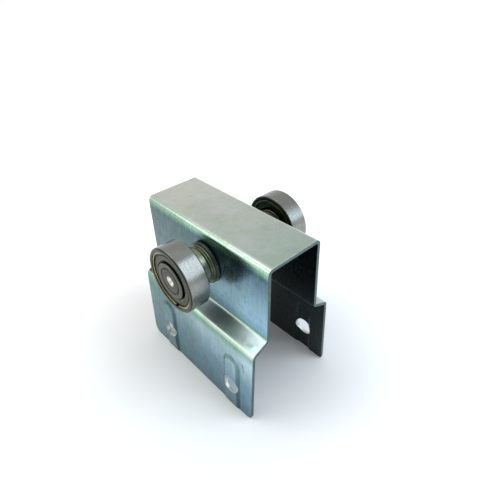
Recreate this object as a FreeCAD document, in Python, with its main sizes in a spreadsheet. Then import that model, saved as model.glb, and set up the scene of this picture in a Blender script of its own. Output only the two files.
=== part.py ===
import FreeCAD, Part
import math
import os
import re

import Sketcher
from FreeCAD import Placement, Rotation, Vector

# Top-hung sliding door roller: a pressed sheet-steel bracket whose skirts straddle the top edge
# of a door, and a through axle that carries one shielded ball bearing outside each channel wall.
# The bearings' outer rings are the rollers: they run on the two lips of a C-shaped track.
#
# Frame: X along the bracket (the way the door slides), Y across it, Z up. X = 0 and Y = 0 are the
# middle of the bracket, Z = 0 is the plane of the skirts' lower edges. "near" pieces are on the
# -Y side and "far" pieces on the +Y side. An "outer" piece is on the side of its bearing that
# looks away from the bracket, an "inner" piece on the side that looks towards it.
# Sizes are millimetres and degrees.

SIZES = {
    # bracket: overall and section
    "bracket_length": 59.0,
    "bracket_height": 60.8,
    "sheet_thickness": 1.2,
    "bend_inside_radius": 0.8,
    "crown_width": 21.6,            # over the channel walls' outer faces, at the top corners
    "wall_lean": 1.75,              # each channel wall leans out towards the shoulder
    "neck_height": 33.8,            # where the channel wall turns out into the shoulder
    "shoulder_height": 31.0,        # where the shoulder turns down into the skirt
    "shoulder_width": 35.2,         # over the skirts' outer faces, at the shoulder
    "skirt_lean": 3.5,              # each skirt leans out towards its lower edge
    "near_foot_radius": 3.0,
    "far_foot_radius": 0.8,
    # screw places: arch-topped bosses pressed outwards, open at the skirts' lower edges
    "screw_spacing": 36.0,
    "screw_height": 10.7,
    "screw_hole_diameter": 7.0,
    "boss_width": 8.4,
    "boss_arch_height": 20.3,       # the centre of the round top
    "boss_depth": 0.85,
    "boss_bevel": 45.0,
    # axle
    "axle_offset": 1.8,             # from the middle of the bracket's length
    "axle_height": 49.3,
    "roller_span": 50.0,            # over the outer faces of the two bearings
    "axle_clearance": 0.02,         # radial, inside a bearing's bore
    "sleeve_clearance": 0.12,       # radial, inside what is threaded on the axle
    "stake_clearance": 0.04,        # radial, between the staked end and the bore's chamfer
    "dimple_diameter": 3.8,
    "dimple_depth": 1.6,
    # sleeves and washers on the axle
    "washer_diameter": 14.4,
    "washer_thickness": 1.0,
    "wall_seat_gap": 0.03,          # between a leaning wall and the square end that meets it
    "spacer_diameter": 13.2,
    "spacer_rounding": 0.7,
    "spacer_collar_length": 0.6,
    "spacer_neck_diameter": 11.6,
    "spacer_neck_length": 0.6,
    "spacer_nose_diameter": 11.4,   # the reduced end that bears on the bearing's inner ring
    "spacer_nose_length": 0.6,
    "inner_tube_diameter": 12.0,
    # ball bearing
    "bearing_bore": 8.0,
    "bearing_diameter": 22.0,
    "bearing_width": 7.0,
    "ball_diameter": 3.969,
    "race_shoulder": 0.585,         # how far each ring's shoulder covers the ball, radially
    "race_relief": 0.075,           # how much larger the race's radius is than the ball's
    "ball_clearance": 0.05,         # radial, between a ball and the bottom of each race
    "bore_chamfer": 0.6,
    "ring_chamfer": 0.4,
    "land_chamfer": 0.2,
    "lip_width": 0.26,              # the outer ring's lip beyond the snap ring
    "lip_step": 0.65,               # the lip's bore over the land's, radially
    "seat_step": 0.6,               # the shield's seat over the land, radially
    "snap_groove_step": 1.0,        # the snap ring's groove over the land, radially
    "cage_sheet": 0.3,
    "cage_clearance": 0.06,         # between a ball and its pocket
    "cage_side_gap": 0.4,           # radial, between the cage and each ring's land
    "shield_sheet": 0.3,
    "shield_dish": 0.25,            # how far the middle of a shield stands out
    "shield_flange_width": 0.92,
    "shield_slope_width": 0.2,
    "shield_gap": 0.3,              # radial, between a shield and the inner ring
    "shield_edge_clearance": 0.03,
    "snap_ring_sheet": 0.5,
    "snap_ring_width": 0.75,
    "snap_ring_gap": 9.0,           # the opening of the split ring, in degrees
    "snap_ring_clearance": 0.02,    # in its groove, along the axle
    "snap_ring_edge_clearance": 0.05,
}

# Places and radii that follow from the sizes. w is along the axle from a bearing's middle plane,
# y across the bracket from Y = 0.
WORKED_OUT = {
    "half_length": "bracket_length / 2",
    "crown_half": "crown_width / 2",
    "neck_half": "crown_half + tan(wall_lean) * (bracket_height - neck_height)",
    "shoulder_half": "shoulder_width / 2",
    "foot_half": "shoulder_half + tan(skirt_lean) * shoulder_height",
    "bend_outside_radius": "bend_inside_radius + sheet_thickness",
    "left_screw_x": "axle_offset - screw_spacing / 2",
    "right_screw_x": "axle_offset + screw_spacing / 2",
    "hollow_half": "boss_width / 2 - sheet_thickness * tan(boss_bevel / 2)",

    "axle_radius": "bearing_bore / 2 - axle_clearance",
    "axle_half": "roller_span / 2",
    "stake_radius": "bearing_bore / 2 + bore_chamfer - stake_clearance",
    "stake_start": "axle_half - bore_chamfer",
    "dimple_floor": "axle_half - dimple_depth",
    "sleeve_bore": "axle_radius + sleeve_clearance",

    "washer_low": "axle_height - washer_diameter / 2",
    "washer_start": "crown_half + tan(wall_lean) * (bracket_height - washer_low) + wall_seat_gap",
    "washer_end": "washer_start + washer_thickness",
    "bearing_start": "axle_half - bearing_width",
    "spacer_collar_end": "washer_end + spacer_collar_length",
    "spacer_body_start": "spacer_collar_end + spacer_neck_length",
    "spacer_nose_start": "bearing_start - spacer_nose_length",
    "tube_high": "axle_height + inner_tube_diameter / 2",
    "wall_across": "sheet_thickness / cos(wall_lean)",
    "wall_inside": "crown_half - wall_across + tan(wall_lean) * (bracket_height - tube_high)",
    "tube_half": "wall_inside - wall_seat_gap",

    "bearing_middle": "axle_half - bearing_width / 2",
    "bearing_half": "bearing_width / 2",
    "bore_radius": "bearing_bore / 2",
    "tread_radius": "bearing_diameter / 2",
    "pitch_radius": "(bearing_bore + bearing_diameter) / 4",
    "ball_radius": "ball_diameter / 2",
    "race_radius": "ball_radius + race_relief",
    "inner_race_bottom": "pitch_radius - ball_radius - ball_clearance",
    "outer_race_bottom": "pitch_radius + ball_radius + ball_clearance",
    "inner_race_centre": "inner_race_bottom + race_radius",
    "outer_race_centre": "outer_race_bottom - race_radius",
    "inner_land": "inner_race_bottom + race_shoulder",
    "outer_land": "outer_race_bottom - race_shoulder",
    "seat_radius": "outer_land + seat_step",
    "lip_radius": "outer_land + lip_step",
    "snap_groove_radius": "outer_land + snap_groove_step",
    "snap_groove_end": "bearing_half - lip_width",
    "snap_ring_end": "snap_groove_end - snap_ring_clearance",
    "snap_ring_start": "snap_ring_end - snap_ring_sheet",
    "shield_top": "snap_ring_start - snap_ring_clearance",
    "shield_seat": "shield_top - shield_sheet",
    "snap_ring_outer": "snap_groove_radius - snap_ring_edge_clearance",
    "snap_ring_inner": "snap_ring_outer - snap_ring_width",
    "shield_edge": "seat_radius - shield_edge_clearance",
    "shield_flange": "shield_edge - shield_flange_width",
    "shield_plateau": "shield_flange - shield_slope_width",
    "shield_bore": "inner_land + shield_gap",
    "cage_inner": "inner_land + cage_side_gap",
    "cage_outer": "outer_land - cage_side_gap",
    "pocket_radius": "ball_radius + cage_clearance",
    "dome_radius": "pocket_radius + cage_sheet",
}

BALLS = 7
SIDES = {"near": -1, "far": 1}

# where the opening of each split ring lies, in degrees about the bearing, seen from the face
# that the ring is on: 0 is +X on the near side, and 90 is up
SNAP_RING_TURNS = {
    ("near", "outer"): -98.0,
    ("near", "inner"): 25.0,
    ("far", "outer"): 140.0,
    ("far", "inner"): -60.0,
}

doc = FreeCAD.newDocument("sliding_door_roller")

# ---------------------------------------------------------------------------------------------
# The two sheets, and formulas in their aliases
# ---------------------------------------------------------------------------------------------

CELLS = {}


def cell_text(formula):
    """The formula with each known alias in it written as a reference to its sheet's cell."""
    return re.sub(r"[a-z]\w*", lambda word: CELLS.get(word.group(), word.group()), formula)


def fill_sheet(name, contents, prefix):
    sheet = doc.addObject("Spreadsheet::Sheet", name)
    for row, (alias, content) in enumerate(contents.items(), start=1):
        sheet.set("A%d" % row, alias)
        sheet.set("B%d" % row, prefix + cell_text(str(content)))
        sheet.setAlias("B%d" % row, alias)
    doc.recompute()
    for alias in contents:
        CELLS[alias] = name + "." + alias
    return sheet


sizes = fill_sheet("Sizes", SIZES, "")
fill_sheet("Worked", WORKED_OUT, "=")


def number(formula):
    """What a formula in the sheets' aliases comes to."""
    return float(sizes.evalExpression(cell_text(formula)))


def bind(feature, setting, formula):
    feature.setExpression(setting, cell_text(formula))


# ---------------------------------------------------------------------------------------------
# Bodies, sketches and features
# ---------------------------------------------------------------------------------------------


def new_body(label):
    body = doc.addObject("PartDesign::Body", label)
    body.Label = label
    return body


def origin_feature(body, role):
    for feature in body.Origin.OriginFeatures:
        if feature.Role == role:
            return feature
    raise RuntimeError("%s has no %s" % (body.Label, role))


def new_sketch(body, name, support):
    sketch = body.newObject("Sketcher::SketchObject", name)
    sketch.AttachmentSupport = [(support, "")]
    sketch.MapMode = "FlatFace"
    return sketch


def dimension(sketch, kind, elements, formula):
    """Add one dimension to a sketch and bind it to a formula."""
    index = sketch.addConstraint(Sketcher.Constraint(kind, *elements, number(formula)))
    name = "%s_%d" % (kind, index)
    sketch.renameConstraint(index, name)
    bind(sketch, "Constraints." + name, formula)


def polygon(body, name, support, corners):
    """A closed sketch of straight sides. Each corner is a pair of formulas, across and up."""
    sketch = new_sketch(body, name, support)
    points = []
    for across, up in corners:
        points.append(Vector(number(across), number(up), 0))
    for k in range(len(points)):
        sketch.addGeometry(Part.LineSegment(points[k - 1], points[k]), False)
    for k, (across, up) in enumerate(corners):
        sketch.addConstraint(Sketcher.Constraint("Coincident", k, 2, (k + 1) % len(corners), 1))
        dimension(sketch, "DistanceX", (-1, 1, k, 2), across)
        dimension(sketch, "DistanceY", (-1, 1, k, 2), up)
    return sketch


def circles(body, name, support, centres, radius):
    """A sketch of equal circles. Each centre is a pair of formulas, across and up."""
    sketch = new_sketch(body, name, support)
    for k, (across, up) in enumerate(centres):
        centre = Vector(number(across), number(up), 0)
        sketch.addGeometry(Part.Circle(centre, Vector(0, 0, 1), number(radius)), False)
        dimension(sketch, "DistanceX", (-1, 1, k, 3), across)
        dimension(sketch, "DistanceY", (-1, 1, k, 3), up)
        dimension(sketch, "Radius", (k,), radius)
    return sketch


def turn(body, kind, sketch):
    """Revolve a sketch about its own upright axis: a Revolution adds, a Groove removes."""
    feature = body.newObject("PartDesign::" + kind, kind)
    feature.Profile = sketch
    feature.ReferenceAxis = (sketch, ["V_Axis"])
    feature.Angle = 360
    return feature


def both_ends(corners):
    """The corners of the +w half of an outline that is the same at both ends of its piece."""
    return corners + [(across, "-(" + up + ")") for across, up in reversed(corners)]


def put_on_axle(shape, facing, across, turned=0):
    """Lay a turned piece on the axle line with its own +Z looking along +Y or -Y (facing)."""
    spin = Rotation(Vector(0, 0, 1), turned)
    shape.Placement = Placement(Vector(), Rotation(Vector(1, 0, 0), -90 * facing).multiply(spin))
    bind(shape, "Placement.Base.x", "axle_offset")
    bind(shape, "Placement.Base.y", across)
    bind(shape, "Placement.Base.z", "axle_height")


def turned_piece(label, corners):
    """A body of revolution about its own Z, from an outline in radius and w."""
    body = new_body(label)
    outline = polygon(body, "Outline", origin_feature(body, "XZ_Plane"), corners)
    turn(body, "Revolution", outline)
    return body


# ---------------------------------------------------------------------------------------------
# Bracket
# ---------------------------------------------------------------------------------------------


def is_edge_run(edge, direction):
    """Whether an edge is straight and runs along the given direction."""
    if edge.Curve.TypeId != "Part::GeomLine":
        return False
    return abs(abs(edge.Curve.Direction.dot(direction)) - 1) < 1e-6


def long_edges(shape, width_formula, height_formula):
    """Names of the edges along X that lie at +-width and at this height."""
    names = []
    for k, edge in enumerate(shape.Edges, start=1):
        at = edge.CenterOfMass
        same_width = abs(abs(at.y) - number(width_formula)) < 1e-4
        same_height = abs(at.z - number(height_formula)) < 1e-4
        if is_edge_run(edge, Vector(1, 0, 0)) and same_width and same_height:
            names.append("Edge%d" % k)
    return names


def foot_corners(shape, side):
    """Names of the short edges through the sheet at the lower corners of one skirt."""
    names = []
    for k, edge in enumerate(shape.Edges, start=1):
        at = edge.CenterOfMass
        at_end = abs(abs(at.x) - number("half_length")) < 1e-4
        if is_edge_run(edge, Vector(0, 1, 0)) and at_end and abs(at.z) < 1e-4 and at.y * side > 0:
            names.append("Edge%d" % k)
    return names


def round_edges(body, base, names, radius_formula):
    fillet = body.newObject("PartDesign::Fillet", "Fillet")
    fillet.Base = (base, names)
    bind(fillet, "Radius", radius_formula)
    doc.recompute()
    return fillet


def leaning_plane(body, name, inset):
    """A plane parallel to the near skirt, this far behind its outer face, looking outwards."""
    plane = body.newObject("PartDesign::Plane", name)
    plane.AttachmentSupport = [(origin_feature(body, "XZ_Plane"), "")]
    plane.MapMode = "FlatFace"
    bind(plane, "AttachmentOffset.Base.z", "foot_half - (%s) / cos(skirt_lean)" % inset)
    plane.AttachmentOffset = Placement(plane.AttachmentOffset.Base,
                                       Rotation(Vector(1, 0, 0), -number("skirt_lean")))
    return plane


def arches(body, name, support, half_width, foot):
    """Two arch-topped outlines, one at each screw place, that run down to the foot formula."""
    sketch = new_sketch(body, name, support)
    slope = "cos(skirt_lean)"
    for k, middle in enumerate(("left_screw_x", "right_screw_x")):
        first = 4 * k
        x = number(middle)
        half = number(half_width)
        top = number("boss_arch_height") / number(slope)
        low = number(foot)
        sketch.addGeometry(Part.LineSegment(Vector(x - half, low, 0), Vector(x + half, low, 0)))
        sketch.addGeometry(Part.LineSegment(Vector(x + half, low, 0), Vector(x + half, top, 0)))
        arch = Part.Circle(Vector(x, top, 0), Vector(0, 0, 1), half)
        sketch.addGeometry(Part.ArcOfCircle(arch, 0, math.pi))
        sketch.addGeometry(Part.LineSegment(Vector(x - half, top, 0), Vector(x - half, low, 0)))
        sketch.addConstraint(Sketcher.Constraint("Coincident", first, 2, first + 1, 1))
        sketch.addConstraint(Sketcher.Constraint("Tangent", first + 1, 2, first + 2, 1))
        sketch.addConstraint(Sketcher.Constraint("Tangent", first + 2, 2, first + 3, 1))
        sketch.addConstraint(Sketcher.Constraint("Coincident", first + 3, 2, first, 1))
        sketch.addConstraint(Sketcher.Constraint("Horizontal", first))
        sketch.addConstraint(Sketcher.Constraint("Vertical", first + 1))
        dimension(sketch, "DistanceX", (-1, 1, first + 2, 3), middle)
        dimension(sketch, "DistanceY", (-1, 1, first + 2, 3), "boss_arch_height / " + slope)
        dimension(sketch, "DistanceY", (-1, 1, first, 1), foot)
        dimension(sketch, "Radius", (first + 2,), half_width)
    return sketch


def make_bracket():
    body = new_body("bracket")
    section = polygon(body, "Section", origin_feature(body, "YZ_Plane"), [
        ("-foot_half", "0"), ("-shoulder_half", "shoulder_height"),
        ("-neck_half", "neck_height"), ("-crown_half", "bracket_height"),
        ("crown_half", "bracket_height"), ("neck_half", "neck_height"),
        ("shoulder_half", "shoulder_height"), ("foot_half", "0"),
    ])
    block = body.newObject("PartDesign::Pad", "Block")
    block.Profile = section
    block.SideType = "Symmetric"
    bind(block, "Length", "bracket_length")
    doc.recompute()

    outside = long_edges(block.Shape, "crown_half", "bracket_height")
    outside += long_edges(block.Shape, "shoulder_half", "shoulder_height")
    rounded = round_edges(body, block, outside, "bend_outside_radius")
    neck = long_edges(rounded.Shape, "neck_half", "neck_height")
    rounded = round_edges(body, rounded, neck, "bend_inside_radius")

    # bent from one sheet: the block is hollowed, open at both ends and underneath
    open_faces = []
    for k, face in enumerate(rounded.Shape.Faces, start=1):
        at = face.CenterOfMass
        if abs(abs(at.x) - number("half_length")) < 1e-4 or abs(at.z) < 1e-4:
            open_faces.append("Face%d" % k)
    bent = body.newObject("PartDesign::Thickness", "Sheet")
    bent.Base = (rounded, open_faces)
    bind(bent, "Value", "sheet_thickness")
    bent.Reversed = True
    bent.Mode = "Skin"
    bent.Join = "Intersection"
    doc.recompute()

    near_feet = foot_corners(bent.Shape, SIDES["near"])
    feet = round_edges(body, bent, near_feet, "near_foot_radius")
    far_feet = foot_corners(feet.Shape, SIDES["far"])
    round_edges(body, feet, far_feet, "far_foot_radius")

    # each boss is pressed out of its skirt: a bevelled pad outside, a bevelled hollow behind it,
    # as deep, and narrower by what keeps the sheet's thickness through the bevel
    outer_plane = leaning_plane(body, "SkirtOuter", "0")
    raised = body.newObject("PartDesign::Pad", "Bosses")
    raised.Profile = arches(body, "BossOutline", outer_plane, "boss_width / 2", "-boss_depth")
    bind(raised, "Length", "boss_depth")
    bind(raised, "TaperAngle", "-boss_bevel")
    inner_plane = leaning_plane(body, "SkirtInner", "sheet_thickness")
    hollow = body.newObject("PartDesign::Pocket", "BossHollows")
    hollow.Profile = arches(body, "HollowOutline", inner_plane, "hollow_half", "-boss_width")
    hollow.Reversed = True
    bind(hollow, "Length", "boss_depth")
    bind(hollow, "TaperAngle", "-boss_bevel")
    far = body.newObject("PartDesign::Mirrored", "FarBosses")
    far.Originals = [raised, hollow]
    far.MirrorPlane = (origin_feature(body, "XZ_Plane"), [""])
    body.Tip = far
    doc.recompute()

    below = body.newObject("PartDesign::Pocket", "FootTrim")
    below.Profile = polygon(body, "FootTrimOutline", origin_feature(body, "XY_Plane"), [
        ("-bracket_length", "-bracket_length"), ("bracket_length", "-bracket_length"),
        ("bracket_length", "bracket_length"), ("-bracket_length", "bracket_length"),
    ])
    bind(below, "Length", "boss_width")

    across_plane = origin_feature(body, "XZ_Plane")
    screw_centres = [("left_screw_x", "screw_height"), ("right_screw_x", "screw_height")]
    axle_centre = [("axle_offset", "axle_height")]
    for name, centres, radius in (("ScrewHoles", screw_centres, "screw_hole_diameter / 2"),
                                  ("AxleHoles", axle_centre, "sleeve_bore")):
        drilled = body.newObject("PartDesign::Pocket", name)
        drilled.Profile = circles(body, name + "Outline", across_plane, centres, radius)
        drilled.SideType = "Symmetric"
        bind(drilled, "Length", "2 * shoulder_width")
    doc.recompute()
    return body


# ---------------------------------------------------------------------------------------------
# Axle, and what is threaded on it between the bearings
# ---------------------------------------------------------------------------------------------


def make_axle():
    # both ends are staked out into the bearings' bores by a punch that leaves a conical dimple
    axle = turned_piece("axle", both_ends([
        ("axle_radius", "stake_start"), ("stake_radius", "axle_half"),
        ("dimple_diameter / 2", "axle_half"), ("0", "dimple_floor"),
    ]))
    put_on_axle(axle, 1, "0")
    return axle


def make_inner_tube():
    tube = turned_piece("inner_tube", both_ends([
        ("inner_tube_diameter / 2", "tube_half"), ("sleeve_bore", "tube_half"),
    ]))
    put_on_axle(tube, 1, "0")
    return tube


def make_washer(side):
    washer = turned_piece(side + "_washer", [
        ("sleeve_bore", "washer_start"), ("washer_diameter / 2", "washer_start"),
        ("washer_diameter / 2", "washer_end"), ("sleeve_bore", "washer_end"),
    ])
    put_on_axle(washer, SIDES[side], "0")
    return washer


def make_spacer(side):
    # a turned sleeve: a collar on the washer, a neck, a rounded body and a nose on the bearing
    rim = "spacer_diameter / 2"
    neck = "spacer_neck_diameter / 2"
    nose = "spacer_nose_diameter / 2"
    spacer = turned_piece(side + "_spacer", [
        ("sleeve_bore", "washer_end"), (rim, "washer_end"),
        (rim, "spacer_collar_end"), (neck, "spacer_collar_end"),
        (neck, "spacer_body_start"), (rim + " - spacer_rounding", "spacer_body_start"),
        (rim, "spacer_body_start + spacer_rounding"),
        (rim, "spacer_nose_start - spacer_rounding"),
        (rim + " - spacer_rounding", "spacer_nose_start"), (nose, "spacer_nose_start"),
        (nose, "bearing_start"), ("sleeve_bore", "bearing_start"),
    ])
    put_on_axle(spacer, SIDES[side], "0")
    return spacer


# ---------------------------------------------------------------------------------------------
# Ball bearing
# ---------------------------------------------------------------------------------------------


def cut_race(body, centre_radius):
    race = circles(body, "Race", origin_feature(body, "XZ_Plane"), [(centre_radius, "0")],
                   "race_radius")
    turn(body, "Groove", race)


def make_inner_ring(side):
    ring = turned_piece(side + "_inner_ring", both_ends([
        ("inner_land", "bearing_half - land_chamfer"),
        ("inner_land - land_chamfer", "bearing_half"),
        ("bore_radius + bore_chamfer", "bearing_half"),
        ("bore_radius", "bearing_half - bore_chamfer"),
    ]))
    cut_race(ring, "inner_race_centre")
    return ring


def make_outer_ring(side):
    # from the land outwards: the shields' seats, the snap rings' grooves, and the lips over them
    ring = turned_piece(side + "_outer_ring", both_ends([
        ("tread_radius", "bearing_half - ring_chamfer"),
        ("tread_radius - ring_chamfer", "bearing_half"),
        ("lip_radius", "bearing_half"), ("lip_radius", "snap_groove_end"),
        ("snap_groove_radius", "snap_groove_end"), ("snap_groove_radius", "shield_top"),
        ("seat_radius", "shield_top"), ("seat_radius", "shield_seat"),
        ("outer_land", "shield_seat"),
    ]))
    cut_race(ring, "outer_race_centre")
    return ring


def make_shield(side, end):
    # a pressed disc: a flat flange in the ring's seat, a slope, and a raised flat middle
    return turned_piece("%s_shield_%s" % (side, end), [
        ("shield_bore", "shield_seat + shield_dish"),
        ("shield_plateau", "shield_seat + shield_dish"),
        ("shield_flange", "shield_seat"), ("shield_edge", "shield_seat"),
        ("shield_edge", "shield_top"), ("shield_flange", "shield_top"),
        ("shield_plateau", "shield_top + shield_dish"),
        ("shield_bore", "shield_top + shield_dish"),
    ])


def make_snap_ring(side, end):
    body = new_body("%s_snap_ring_%s" % (side, end))
    outline = polygon(body, "Outline", origin_feature(body, "XZ_Plane"), [
        ("snap_ring_inner", "snap_ring_start"), ("snap_ring_outer", "snap_ring_start"),
        ("snap_ring_outer", "snap_ring_end"), ("snap_ring_inner", "snap_ring_end"),
    ])
    wire = turn(body, "Revolution", outline)
    wire.Midplane = True
    bind(wire, "Angle", "360 - snap_ring_gap")
    return body


def round_the_balls(body, sphere, name):
    """Repeat a sphere of the cage at every ball."""
    pattern = body.newObject("PartDesign::PolarPattern", name)
    pattern.Originals = [sphere]
    pattern.Axis = (origin_feature(body, "Z_Axis"), [""])
    pattern.Angle = 360
    pattern.Occurrences = BALLS
    body.Tip = pattern
    doc.recompute()


def make_cage_half(side, end):
    # a flat ring of sheet with a dome pressed out over every ball, trimmed to the ribbon's width
    body = turned_piece("%s_cage_%s_half" % (side, end), [
        ("cage_inner", "0"), ("cage_outer", "0"),
        ("cage_outer", "cage_sheet"), ("cage_inner", "cage_sheet"),
    ])
    doc.recompute()
    dome = body.newObject("PartDesign::AdditiveSphere", "Dome")
    bind(dome, "Radius", "dome_radius")
    bind(dome, "Placement.Base.x", "pitch_radius")
    dome.Angle1 = 0
    doc.recompute()
    round_the_balls(body, dome, "Domes")
    plane = origin_feature(body, "XZ_Plane")
    for name, near_edge, far_edge in (
            ("OuterTrim", "cage_outer", "cage_outer + 2 * dome_radius"),
            ("InnerTrim", "cage_inner / 2", "cage_inner")):
        turn(body, "Groove", polygon(body, name, plane, [
            (near_edge, "-dome_radius"), (far_edge, "-dome_radius"),
            (far_edge, "2 * dome_radius"), (near_edge, "2 * dome_radius"),
        ]))
    doc.recompute()
    pocket = body.newObject("PartDesign::SubtractiveSphere", "BallPocket")
    bind(pocket, "Radius", "pocket_radius")
    bind(pocket, "Placement.Base.x", "pitch_radius")
    doc.recompute()
    round_the_balls(body, pocket, "BallPockets")
    return body


def make_ball(side, k):
    ball = doc.addObject("Part::Sphere", "%s_ball_%d" % (side, k + 1))
    ball.Label = "%s_ball_%d" % (side, k + 1)
    bind(ball, "Radius", "ball_radius")
    angle = 360.0 * k / BALLS
    bind(ball, "Placement.Base.x", "axle_offset + pitch_radius * cos(%.9f)" % angle)
    bind(ball, "Placement.Base.y", "%d * bearing_middle" % SIDES[side])
    bind(ball, "Placement.Base.z", "axle_height + pitch_radius * sin(%.9f)" % angle)
    return ball


def make_bearing(side):
    outward = SIDES[side]
    middle = "%d * bearing_middle" % outward
    pieces = [make_inner_ring(side), make_outer_ring(side)]
    for ring in pieces:
        put_on_axle(ring, outward, middle)
    for end, facing in (("outer", outward), ("inner", -outward)):
        for piece in (make_cage_half(side, end), make_shield(side, end)):
            put_on_axle(piece, facing, middle)
            pieces.append(piece)
        snap_ring = make_snap_ring(side, end)
        # the split ring's opening is made at its own -X
        put_on_axle(snap_ring, facing, middle, SNAP_RING_TURNS[side, end] + 180)
        pieces.append(snap_ring)
    for k in range(BALLS):
        pieces.append(make_ball(side, k))
    return pieces


# ---------------------------------------------------------------------------------------------
# Everything together
# ---------------------------------------------------------------------------------------------

pieces = [make_bracket(), make_axle(), make_inner_tube()]
for side in SIDES:
    pieces += [make_washer(side), make_spacer(side)]
    pieces += make_bearing(side)
doc.recompute()

for thing in doc.Objects:
    if "Invalid" in thing.State or "Error" in thing.State:
        raise RuntimeError("%s (%s) failed: %s" % (thing.Name, thing.Label, thing.State))
for piece in pieces:
    if piece.Shape.isNull() or not piece.Shape.isValid() or len(piece.Shape.Solids) != 1:
        raise RuntimeError("%s is not one valid solid" % piece.Label)

os.makedirs("parts", exist_ok=True)
for piece in pieces:
    piece.Shape.exportStep("parts/%s.step" % piece.Label)
    print("%-24s %10.3f mm3" % (piece.Label, piece.Shape.Volume))
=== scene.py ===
"""A sliding door roller: the finished surfaces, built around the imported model.

Sizes are millimetres until a mesh is made, which turns them into metres. X runs along the bracket,
Y across it and Z up. The "near" side is -Y and the "far" side is +Y.
"""
import math

import bmesh
import bpy
import numpy as np
from mathutils import Matrix, Vector


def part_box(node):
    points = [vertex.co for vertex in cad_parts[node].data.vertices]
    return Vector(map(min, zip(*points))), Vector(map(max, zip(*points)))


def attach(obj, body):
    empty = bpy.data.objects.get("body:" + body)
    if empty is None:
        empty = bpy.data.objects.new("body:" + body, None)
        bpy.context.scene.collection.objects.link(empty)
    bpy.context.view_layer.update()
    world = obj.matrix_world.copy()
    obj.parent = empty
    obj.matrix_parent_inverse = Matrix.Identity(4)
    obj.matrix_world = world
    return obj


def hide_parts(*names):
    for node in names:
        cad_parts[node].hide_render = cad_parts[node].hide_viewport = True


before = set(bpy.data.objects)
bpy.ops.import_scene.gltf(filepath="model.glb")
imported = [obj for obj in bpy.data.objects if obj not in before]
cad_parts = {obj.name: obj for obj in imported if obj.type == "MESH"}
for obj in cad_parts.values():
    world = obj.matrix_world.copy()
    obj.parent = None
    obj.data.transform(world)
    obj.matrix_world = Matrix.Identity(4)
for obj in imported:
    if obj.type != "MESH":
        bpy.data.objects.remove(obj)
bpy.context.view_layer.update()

# ==============================
# Bracket
# One blank of zinc-plated steel sheet, pierced, pressed out at its four screw places, then folded
# into a narrow channel over two splayed skirts. Its cut edges are sheared and left slightly round.
# ==============================


def box_mm(node):
    """The lowest and the highest corner of a node of the frame, in millimetres."""
    low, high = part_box(node)
    return 1000 * np.array(low), 1000 * np.array(high)


bracket_high = box_mm("bracket")[1]
axle_low, axle_high = box_mm("axle")
axle_x = (axle_low[0] + axle_high[0]) / 2
axle_z = (axle_low[2] + axle_high[2]) / 2

half_length = bracket_high[0]
sheet = 1.2
bend_inside = 0.8
crown_half = 10.8
shoulder_half = 17.6
shoulder_height = 31.0
neck_height = 33.8
wall_lean = math.radians(1.75)
skirt_lean = math.radians(3.5)
neck_half = crown_half + math.tan(wall_lean) * (bracket_high[2] - neck_height)
foot_half = shoulder_half + math.tan(skirt_lean) * shoulder_height

screw_reach = 18.0
screw_middles = (axle_x - screw_reach, axle_x + screw_reach)
screw_up = 10.7 / math.cos(skirt_lean)
screw_radius = 3.5
boss_half = 4.2
boss_top = 20.3 / math.cos(skirt_lean)
boss_depth = 0.85
bevel_width = 1.5
bevel_softness = 0.22
fade_height = 7.0           # below this the pressing dies away towards the foot
least_height = 0.45         # the share of its height that is left at the foot itself
draw_height = 4.0           # below this the press draws the free edge up
draw_share = 0.45
hollow_half = boss_half - sheet * math.tan(math.radians(22.5))
axle_hole_radius = 4.1
near_foot_radius = 3.0
short_foot_radius = 1.6     # up the skirt, at the near foot's right corner
far_foot_radius = 0.8


def folded_section(corners, radii):
    """A folded strip as a chain of straight runs and tangent arcs.

    Returns, for each run or arc: where it starts along the strip, its start point, its heading and
    its curvature, positive where the strip turns right. Each corner's arc takes radius times the
    tangent of half the turn from both of its sides.
    """
    corners = np.array(corners, float)
    steps = np.diff(corners, axis=0)
    sides = np.hypot(*steps.T)
    headings = steps / sides[:, None]
    cross = headings[:-1, 0] * headings[1:, 1] - headings[:-1, 1] * headings[1:, 0]
    turns = np.arctan2(cross, (headings[:-1] * headings[1:]).sum(1))
    radii = np.array(radii, float)
    cuts = radii * np.tan(np.abs(turns) / 2)
    cut_before = np.append(0, cuts)
    cut_after = np.append(cuts, 0)
    runs = sides - cut_before - cut_after
    arcs = radii * np.abs(turns)
    lengths = np.empty(len(runs) + len(arcs))
    lengths[0::2], lengths[1::2] = runs, arcs
    points = np.empty((len(lengths), 2))
    points[0::2] = corners[:-1] + headings * cut_before[:, None]
    points[1::2] = corners[1:-1] - headings[:-1] * cuts[:, None]
    directions = np.empty((len(lengths), 2))
    directions[0::2], directions[1::2] = headings, headings[:-1]
    curvature = np.zeros(len(lengths))
    curvature[1::2] = -np.sign(turns) / radii
    return np.append(0, np.cumsum(lengths)), points, directions, curvature


def on_section(section, s):
    """Points and outward normals at distances s along a folded strip.

    On a piece of curvature k, t past its start: point + heading sin(kt)/k - left (1 - cos(kt))/k,
    and the normal is left cos(kt) + heading sin(kt).
    """
    starts, points, directions, curvature = section
    piece = np.clip(np.searchsorted(starts, s, side="right") - 1, 0, len(points) - 1)
    t = s - starts[piece]
    k = curvature[piece]
    straight = k == 0
    safe = np.where(straight, 1, k)
    ahead = np.where(straight, t, np.sin(k * t) / safe)
    aside = np.where(straight, 0, (1 - np.cos(k * t)) / safe)
    heading = directions[piece]
    left = np.stack([-heading[..., 1], heading[..., 0]], -1)
    point = points[piece] + heading * ahead[..., None] - left * aside[..., None]
    normal = left * np.cos(k * t)[..., None] + heading * np.sin(k * t)[..., None]
    return point, normal


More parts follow.
